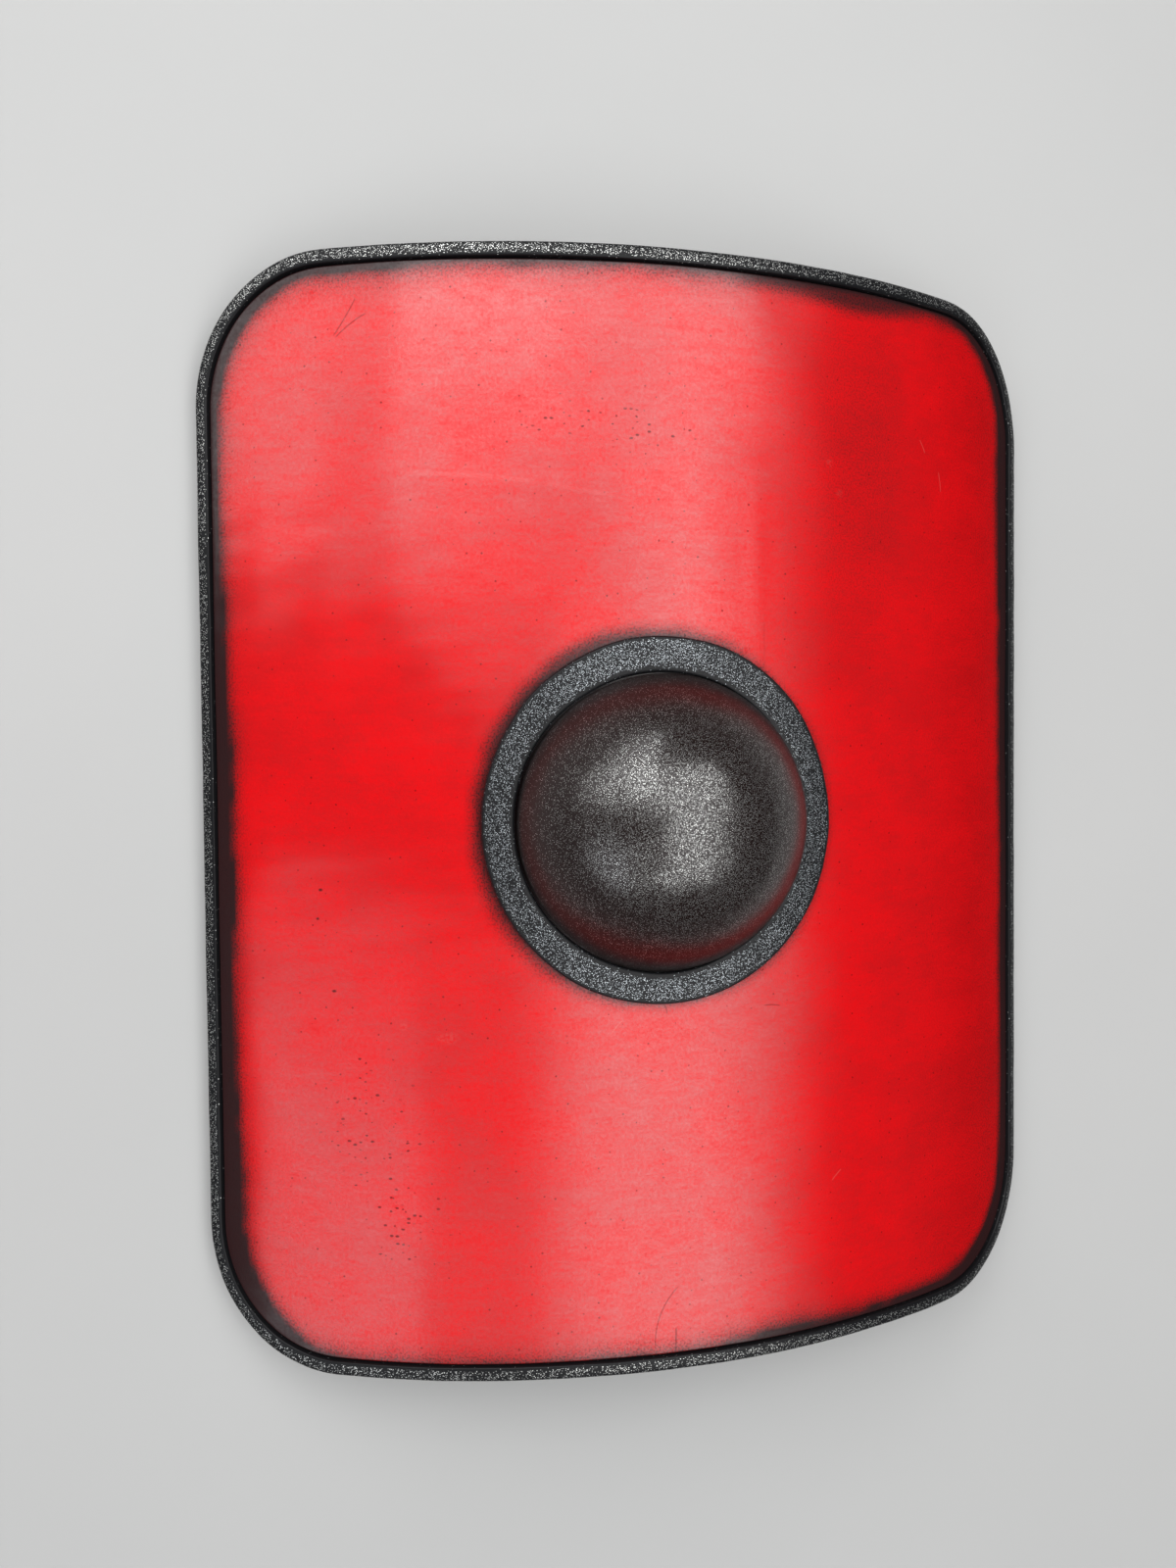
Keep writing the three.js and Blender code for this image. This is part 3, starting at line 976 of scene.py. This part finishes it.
def rim_section():
    """The section as (inset, raised), from the heel up the wall, over the bead and back."""
    heel_middle = foot_at(HEEL) + HEEL
    points = []
    for a in np.radians((0, 30, 60, 90)):
        inset = HEEL - HEEL * math.sin(a)
        points.append((inset, max(heel_middle - HEEL * math.cos(a), foot_at(inset))))
    wall_top = RIM_ABOVE - OUTER_SHOULDER
    points += [(0.0, heel_middle * (1 - k) + wall_top * k) for k in (0.4, 0.8)]
    for a in np.radians(np.linspace(180, 90, 11)):
        across = OUTER_SHOULDER * (1 + math.cos(a))
        points.append((across, RIM_ABOVE - OUTER_SHOULDER * (1 - math.sin(a))))
    points += [(k * MM, RIM_ABOVE + 0.12 * MM) for k in (3.6, 4.6, 5.6)]
    for a in np.radians(np.linspace(90, 0, 8)):
        across = RIM_WIDTH - INNER_SHOULDER * (1 - math.cos(a))
        points.append((across, RIM_ABOVE - INNER_SHOULDER * (1 - math.sin(a))))
    inner = foot_at(RIM_WIDTH)
    toe = RIM_WIDTH - 0.9 * MM
    points += [(RIM_WIDTH, -8 * MM), (RIM_WIDTH, inner + 0.9 * MM)]
    points += [(RIM_WIDTH - 0.25 * MM, inner + 0.3 * MM), (toe, foot_at(toe))]
    return points


SECTION = rim_section()
print("the rim's section has", len(SECTION), "points")


# %% Sweep the rim
LUMP_LENGTH = 0.045


def rim_tree(sizes):
    entry = start_tree("rim_sweep", sizes)
    mesh = entry["Mesh"]
    outline = mesh.node(
        "GeometryNodeCurvePrimitiveQuadrilateral",
        {},
        {"Width": entry["Width"], "Height": entry["Height"]},
    )
    rounded = outline.node(
        "GeometryNodeFilletCurve",
        {"mode": "POLY"},
        {"Curve": outline, "Count": 60, "Radius": entry["Corner"], "Limit Radius": False},
    )
    path = rounded.node(
        "GeometryNodeResampleCurve", {"mode": "LENGTH"}, {"Curve": rounded, "Length": entry["Step"]}
    )
    section = mesh.node("GeometryNodeMeshToCurve", {}, {0: mesh})
    sweep = path.node("GeometryNodeCurveToMesh", {}, {"Curve": path, "Profile Curve": section})
    outwards = sweep.node("GeometryNodeFlipFaces", {}, {"Mesh": sweep})
    flat = mesh.node("GeometryNodeInputPosition", {}, {})
    kept = outwards.node(
        "GeometryNodeStoreNamedAttribute",
        {"data_type": "FLOAT_VECTOR", "domain": "POINT"},
        {"Geometry": outwards, "Name": "sheet", "Value": flat},
    )
    free = fade(part(flat, "Z"), -7 * MM, -1 * MM)
    lumps = {"Vector": flat, "Scale": 1 / LUMP_LENGTH, "Detail": 2.0}
    centred = each_axis("SUBTRACT", flat.node("ShaderNodeTexNoise", {}, lumps, "Color"), (0.5, 0.5, 0.5))
    shift = stretched(centred, vector(*[2 * entry["Wobble"] * free] * 3))
    moved = each_axis("ADD", flat, shift)
    angle = part(moved, "X") / entry["Bend"]
    radius = part(moved, "Z") + entry["Bend"]
    place = vector(
        radius * angle.math("SINE"),
        part(moved, "Y"),
        radius * angle.math("COSINE") - entry["Foot"],
    )
    curved = kept.node("GeometryNodeSetPosition", {}, {"Geometry": kept, "Position": place})
    return end_tree(curved, entry["Finish"])


def build_rim():
    sizes = {
        "Width": WIDTH,
        "Height": HEIGHT,
        "Corner": CORNER,
        "Step": 2.4 * MM,
        "Wobble": 0.45 * MM,
        "Bend": BEND,
        "Foot": FOOT_LEVEL,
    }
    edges = [(i, (i + 1) % len(SECTION)) for i in range(len(SECTION))]
    drawn = [(-inset, -raised, 0) for inset, raised in SECTION]
    return run_tree(new_piece("rim_bead", drawn, [], [], edges), rim_tree(sizes), sizes, RIM_LATEX)


rim = build_rim()

# %% [markdown]
# ## The boss ring
# The ring is a flat washer of foam that was glued on before the board was bent, so it is
# drawn on the flat sheet too. Its inner edge is rolled down to the dome, and at its top it is
# up to 2 mm wider. The cutter left it a little uneven, and two small nicks were never filled.

# %% Build the ring
ROUND = 320
OUTER_ROUND = 1.3 * MM
OUTER_DROP = 2.4 * MM
LIFT = 0.1 * MM
# The rolled inner edge, as (out from the hole, down from the top) in millimetres.
ROLLED_EDGE = [(4.4, 0.02), (3.6, 0.07), (2.8, 0.15), (2.1, 0.27), (1.4, 0.42)]
ROLLED_EDGE += [(0.9, 0.6), (0.5, 0.8), (0.2, 1.05), (0.05, 1.4), (0, 2)]
NICKS = [(-0.6, 84.5, 0.9, 3.2), (35.5, -84.5, 2.2, 0.9)]
NICK_DEPTH = 0.5 * MM
RING_WAVES = [(0.14, 0.05, 1.0, 21), (0.05, 0.014, 1.0, 22)]
TURN = np.linspace(0, 2 * np.pi, ROUND, endpoint=False)
CIRCLE = np.column_stack([np.cos(TURN), np.sin(TURN)])


def ring_section():
    """The ring's cut as (radius, raised), from its foot over the top to its hole."""
    hole = BEND * math.asin((DOME_RADIUS + GAP) / BEND)
    outside = hole + RING_WIDTH
    section = [(outside, LIFT), (outside, OUTER_DROP)]
    for turned in np.radians(np.linspace(12, 90, 7)):
        radius = outside - OUTER_ROUND * (1 - math.cos(turned))
        section.append((radius, RING_THICKNESS - OUTER_DROP * (1 - math.sin(turned))))
    section += [(r, RING_THICKNESS) for r in np.linspace(outside - 2 * MM, hole + 6 * MM, 9)]
    section += [(hole + r * MM, RING_THICKNESS - drop * MM) for r, drop in ROLLED_EDGE]
    return section + [(hole, LIFT)]


def build_ring():
    section = ring_section()
    loops = [np.column_stack([r * CIRCLE + BOSS, np.full(ROUND, raised)]) for r, raised in section]
    flat = np.vstack(loops)
    top = np.clip((flat[:, 2] - 1 * MM) / (3 * MM), 0, 1)
    uneven = waves(flat, RING_WAVES) - NICK_DEPTH * sum(hump(flat, *nick) for nick in NICKS)
    off = flat[:, :2] - BOSS
    outer = eased(np.hypot(*off.T), 0.086, 0.097)
    spread = 1 + top * 0.0035 * ripples(flat, 0.07, 1.0, 23) + 0.02 * outer * boss_lobe(flat[:, 1])
    shaped = np.column_stack([BOSS + off * spread[:, None], flat[:, 2] + top * uneven])
    numbers = np.arange(len(flat)).reshape(-1, ROUND)
    faces = np.vstack([band(a, b) for a, b in zip(numbers, np.roll(numbers, -1, axis=0))])
    ring = new_piece("ring_latex", bent(shaped), faces.tolist(), [RING_LATEX])
    carry(ring, "sheet", "FLOAT_VECTOR", flat)
    return ring


ring = build_ring()
print("ring:", len(ring.data.polygons), "faces")

# %% [markdown]
# ## The dome
# The dome is a cap of a ball. It was carved by hand, so its reflections are never quite
# round: a few shallow lumps do that. Its foot is cut to the bent face that it stands on.


# %% Build the dome
DOME_STEPS = 64
DOME_LUMPS = [(0.3, 0.055, 1.0, 31), (0.06, 0.022, 1.0, 32)]


def dome_loops():
    """Loops of (across, up, raised) round the dome, each with its share from the crown."""
    ball = (DOME_RADIUS**2 + DOME_RISE**2) / (2 * DOME_RISE)
    half = math.asin(DOME_RADIUS / ball)
    loops, shares = [], []
    for share in np.arange(1, DOME_STEPS + 1) / DOME_STEPS:
        height = RING_THICKNESS + DOME_RISE - ball * (1 - math.cos(half * share))
        circle = ball * math.sin(half * share) * CIRCLE
        loops.append(np.column_stack([circle, np.full(ROUND, height)]))
        shares.append(share)
    loops.append(np.column_stack([DOME_RADIUS * CIRCLE, np.full(ROUND, RING_THICKNESS / 2)]))
    shares.append(1)
    for radius in np.linspace(DOME_RADIUS, DOME_RADIUS * 0.1, 10):
        low = radius * CIRCLE
        base = np.sqrt((BEND + GAP) ** 2 - low[:, 0] ** 2) - BEND
        loops.append(np.column_stack([low, base]))
        shares.append(1)
    return loops, np.repeat(shares, ROUND)


def build_dome():
    loops, shares = dome_loops()
    local = np.vstack(loops)
    local[:, 2] += waves(local, DOME_LUMPS) * np.clip((local[:, 2] - 6 * MM) / (12 * MM), 0, 1)
    tip, foot = len(local), len(local) + 1
    local = np.vstack([local, (0, 0, RING_THICKNESS + DOME_RISE), (0, 0, GAP)])
    local[:, 1] += BOSS[1]
    numbers = np.arange(tip).reshape(-1, ROUND)
    faces = np.vstack([band(a, b) for a, b in zip(numbers, numbers[1:])])[:, ::-1].tolist()
    faces += [(tip, a, b) for a, b in zip(numbers[0], np.roll(numbers[0], -1))]
    faces += [(foot, b, a) for a, b in zip(numbers[-1], np.roll(numbers[-1], -1))]
    dome = new_piece("dome_cap", leaning(local, BOSS[0], BEND), faces, [DOME_LATEX])
    carry(dome, "from_crown", "FLOAT", [*shares, 0, 1])
    return dome


dome = build_dome()
print("dome:", len(dome.data.polygons), "faces")

# %% [markdown]
# ## The straps
# Behind the board are a narrow grip for the hand and a wider strap for the forearm. Each is
# one thick strip of leather whose glued ends lie on the board and whose middle stands clear
# of it. The strip is its side line, swept across its width with rounded edges.

# %% Sizes of the straps
GRIP = {"across": -110, "width": 32, "thick": 5, "span": 112, "clear": 40, "ramp": 42, "end": 34}
ARM_STRAP = {"across": 100, "width": 48, "thick": 4, "span": 124, "clear": 46, "ramp": 50, "end": 38}
for strap in (GRIP, ARM_STRAP):
    for key in strap:
        strap[key] *= MM
SOFT_EDGE = 1.3 * MM
END_CORNER = 7 * MM
print("grip", GRIP["width"], "m wide, arm strap", ARM_STRAP["width"], "m wide")


# %% Build a strap
def strap_line(strap):
    """The strap's middle line, as (along, below the board), and its direction at each point."""
    half = strap["span"] / 2 + strap["ramp"]
    ends = np.linspace(-half - strap["end"], -half, 12)[:-1]
    ramp = np.linspace(-half, -half + strap["ramp"], 25)
    middle = np.linspace(-half + strap["ramp"], half - strap["ramp"], 40)[1:-1]
    along = np.concatenate([ends, ramp, middle, -ramp[::-1], -ends[::-1]])
    share = np.clip((half - np.abs(along)) / strap["ramp"], 0, 1)
    below = strap["thick"] / 2 + strap["clear"] * share * share * (3 - 2 * share)
    line = np.column_stack([along, below])
    direction = np.gradient(line, axis=0)
    return line, direction / np.linalg.norm(direction, axis=1)[:, None]


def behind_board(strap, local):
    """Rows of (across the strap, along it, below the board) to their places."""
    seat = math.sqrt((BACK - GAP) ** 2 - (strap["width"] / 2) ** 2)
    return leaning(local * (1, 1, -1), strap["across"], seat)


def strap_section(width, thick):
    """Half widths and half depths round the strap's cut, with edges rounded by hand."""
    reach = width / 2 - SOFT_EDGE
    points = []
    for cx, cy, start in ((1, 1, 0), (-1, 1, 90), (-1, -1, 180), (1, -1, 270)):
        for angle in np.radians(np.linspace(start, start + 90, 5)):
            depth = cy * (thick / 2 - SOFT_EDGE) + SOFT_EDGE * math.sin(angle)
            points.append((cx * reach + SOFT_EDGE * math.cos(angle), depth))
        if start in (0, 180):
            level = np.linspace(points[-1][0], -cx * reach, 12)[1:-1]
            points += [(x, points[-1][1]) for x in level]
    return np.array(points)


def build_strap(name, strap):
    line, direction = strap_line(strap)
    end = np.abs(line[:, 0]).max()
    loops = []
    for (along, below), (ahead, down) in zip(line, direction):
        into_corner = max(END_CORNER - (end - abs(along)), 0)
        cut = END_CORNER - math.sqrt(max(END_CORNER**2 - into_corner**2, 0))
        across, depth = strap_section(strap["width"] - 2 * cut, strap["thick"]).T
        loops.append(np.column_stack([across, along - down * depth, below + ahead * depth]))
    local = np.vstack(loops)
    numbers = np.arange(len(local)).reshape(len(loops), -1)
    faces = np.vstack([band(a, b) for a, b in zip(numbers, numbers[1:])]).tolist()
    faces += [numbers[0][::-1].tolist(), numbers[-1].tolist()]
    made = new_piece(name, behind_board(strap, local), faces, [LEATHER])
    made.data.set_sharp_from_angle(angle=math.radians(50))
    return made


grip = build_strap("grip_leather", GRIP)
arm_strap = build_strap("arm_strap_leather", ARM_STRAP)
print("straps:", len(grip.data.polygons), len(arm_strap.data.polygons), "faces")

# %% [markdown]
# ## Stitches and rivets
# A row of stitches runs along each edge of a strap, and two rivets hold each end. Both are
# one small shape that repeats, so a tree copies it: along lines for the stitches, onto
# points for the rivets. The object's own mesh holds the lines or the points, and each
# vertex knows which way is outwards.


# %% Lines for the stitches and points for the rivets
def on_strap(strap, across, along):
    """Places on the strap's outer side, and the outward direction there."""
    line, direction = strap_line(strap)
    below = np.interp(along, line[:, 0], line[:, 1])
    ahead_x = np.interp(along, line[:, 0], direction[:, 0])
    ahead_y = np.interp(along, line[:, 0], direction[:, 1])
    side = strap["thick"] / 2
    local = np.column_stack([across, along - ahead_y * side, below + ahead_x * side])
    tip = local + np.column_stack([np.zeros(len(along)), -ahead_y, ahead_x]) * MM
    out = behind_board(strap, tip) - behind_board(strap, local)
    return behind_board(strap, local), out / MM


def bare_mesh(name, points, edges, outward):
    """An object of points and lines alone, each point with its outward direction."""
    thing = new_piece(name, np.vstack(points), [], [], edges)
    carry(thing, "outward", "FLOAT_VECTOR", np.vstack(outward))
    return thing


def stitch_lines(name, straps):
    points, outward, edges = [], [], []
    for strap in straps:
        reach = strap["span"] / 2 + strap["ramp"] + strap["end"] - 5 * MM
        along = np.linspace(-reach, reach, 120)
        for side in (-1, 1):
            across = np.full(len(along), side * (strap["width"] / 2 - 3.5 * MM))
            place, out = on_strap(strap, across, along)
            first = sum(map(len, points))
            edges += [(first + i, first + i + 1) for i in range(len(along) - 1)]
            points.append(place)
            outward.append(out)
    return bare_mesh(name, points, edges, outward)


def rivet_points(name, straps):
    points, outward = [], []
    for strap in straps:
        middle = strap["span"] / 2 + strap["ramp"] + strap["end"] * 0.55
        across = np.array([-1, 1, -1, 1]) * strap["width"] * 0.2
        place, out = on_strap(strap, across, np.array([-1, -1, 1, 1]) * middle)
        points.append(place)
        outward.append(out)
    return bare_mesh(name, points, [], outward)


STRAPS = (GRIP, ARM_STRAP)
stitch_rows = stitch_lines("strap_stitches", STRAPS)
rivet_places = rivet_points("strap_rivets", STRAPS)
print("rivets:", len(rivet_places.data.vertices))


# %% The trees that copy a stitch and a rivet
def turned_to(outward, along):
    """A turn that points Z outwards and then X along the line."""
    up = outward.node("FunctionNodeAlignRotationToVector", {"axis": "Z"}, {"Vector": outward})
    return up.node(
        "FunctionNodeAlignRotationToVector",
        {"axis": "X", "pivot_axis": "Z"},
        {"Rotation": up, "Vector": along},
    )


def named_vector(wire, name):
    return wire.node("GeometryNodeInputNamedAttribute", {"data_type": "FLOAT_VECTOR"}, {"Name": name})


def stitch_tree(sizes):
    entry = start_tree("stitches", sizes)
    mesh = entry["Mesh"]
    line = mesh.node("GeometryNodeMeshToCurve", {}, {0: mesh})
    even = line.node(
        "GeometryNodeResampleCurve", {"mode": "LENGTH"}, {"Curve": line, "Length": entry["Pitch"]}
    )
    bead = mesh.node("GeometryNodeMeshUVSphere", {}, {"Segments": 8, "Rings": 6, "Radius": 0.5})
    size = vector(entry["Length"], entry["Thread"], entry["Thread"])
    outward = named_vector(mesh, "outward")
    along = mesh.node("GeometryNodeInputTangent", {}, {})
    copies = even.node(
        "GeometryNodeInstanceOnPoints",
        {},
        {"Points": even, "Instance": bead, "Rotation": turned_to(outward, along), "Scale": size},
    )
    return end_tree(copies, entry["Finish"])


def rivet_tree(sizes):
    entry = start_tree("rivets", sizes)
    mesh = entry["Mesh"]
    ball = mesh.node("GeometryNodeMeshUVSphere", {}, {"Segments": 32, "Rings": 16, "Radius": 0.5})
    size = vector(entry["Width"], entry["Width"], 2 * entry["Rise"])
    cap = ball.node("GeometryNodeTransform", {}, {"Geometry": ball, "Scale": size})
    plate = mesh.node(
        "GeometryNodeMeshCylinder",
        {},
        {"Vertices": 32, "Radius": entry["Width"] * 0.62, "Depth": entry["Rise"] * 0.5},
    )
    both = cap.node("GeometryNodeJoinGeometry", {}, {0: cap})
    both.socket.id_data.links.new(plate.socket, both.socket.node.inputs[0])
    outward = named_vector(mesh, "outward")
    up = outward.node("FunctionNodeAlignRotationToVector", {"axis": "Z"}, {"Vector": outward})
    copies = both.node(
        "GeometryNodeInstanceOnPoints", {}, {"Points": mesh, "Instance": both, "Rotation": up}
    )
    return end_tree(copies, entry["Finish"])


STITCH = {"Pitch": 6.5 * MM, "Length": 4.6 * MM, "Thread": 1.1 * MM}
RIVET = {"Width": 9.5 * MM, "Rise": 2.1 * MM}
stitches = run_tree(stitch_rows, stitch_tree(STITCH), STITCH, THREAD)
rivets = run_tree(rivet_places, rivet_tree(RIVET), RIVET, STEEL)

# %% [markdown]
# ## The floor
# The shield lies on a plain pale floor, which isn't part of it. Its material is a soft
# mottled grey, so that the shield's shadow reads and nothing else does.


# %% Floor
def build_floor():
    shader, place, material = finish_material("pale_floor", (0.6, 0.6, 0.6), {"Roughness": 0.9})
    colour = blend_colours(noise(place, 0.4, 4.0), (0.43, 0.43, 0.425, 1), (0.48, 0.48, 0.475, 1))
    connect(shader, Base_Color=colour)
    reach = 6.0
    corners = [(-reach, -reach, 0), (reach, -reach, 0), (reach, reach, 0), (-reach, reach, 0)]
    return new_piece("floor", corners, [(0, 1, 2, 3)], [material])


floor = build_floor()
print("floor laid")

# %% [markdown]
# ## What stands for what
# Each piece takes the place of its solid and rides on the shield's one body. The stitches
# and rivets are extra pieces that ride along.

# %% Tie the pieces to the solids
TIES = [
    (board, "board", "red_latex"),
    (rim, "rim", "speckled_latex"),
    (ring, "boss_ring", "speckled_latex"),
    (dome, "boss_dome", "dome_latex"),
    (grip, "hand_grip", "leather"),
    (arm_strap, "arm_strap", "leather"),
    (stitches, None, "leather"),
    (rivets, None, "rivets"),
]
for thing, node, finish in TIES:
    if node:
        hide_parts(node)
    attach(thing, "root")
    print(thing.name, "stands for", node)
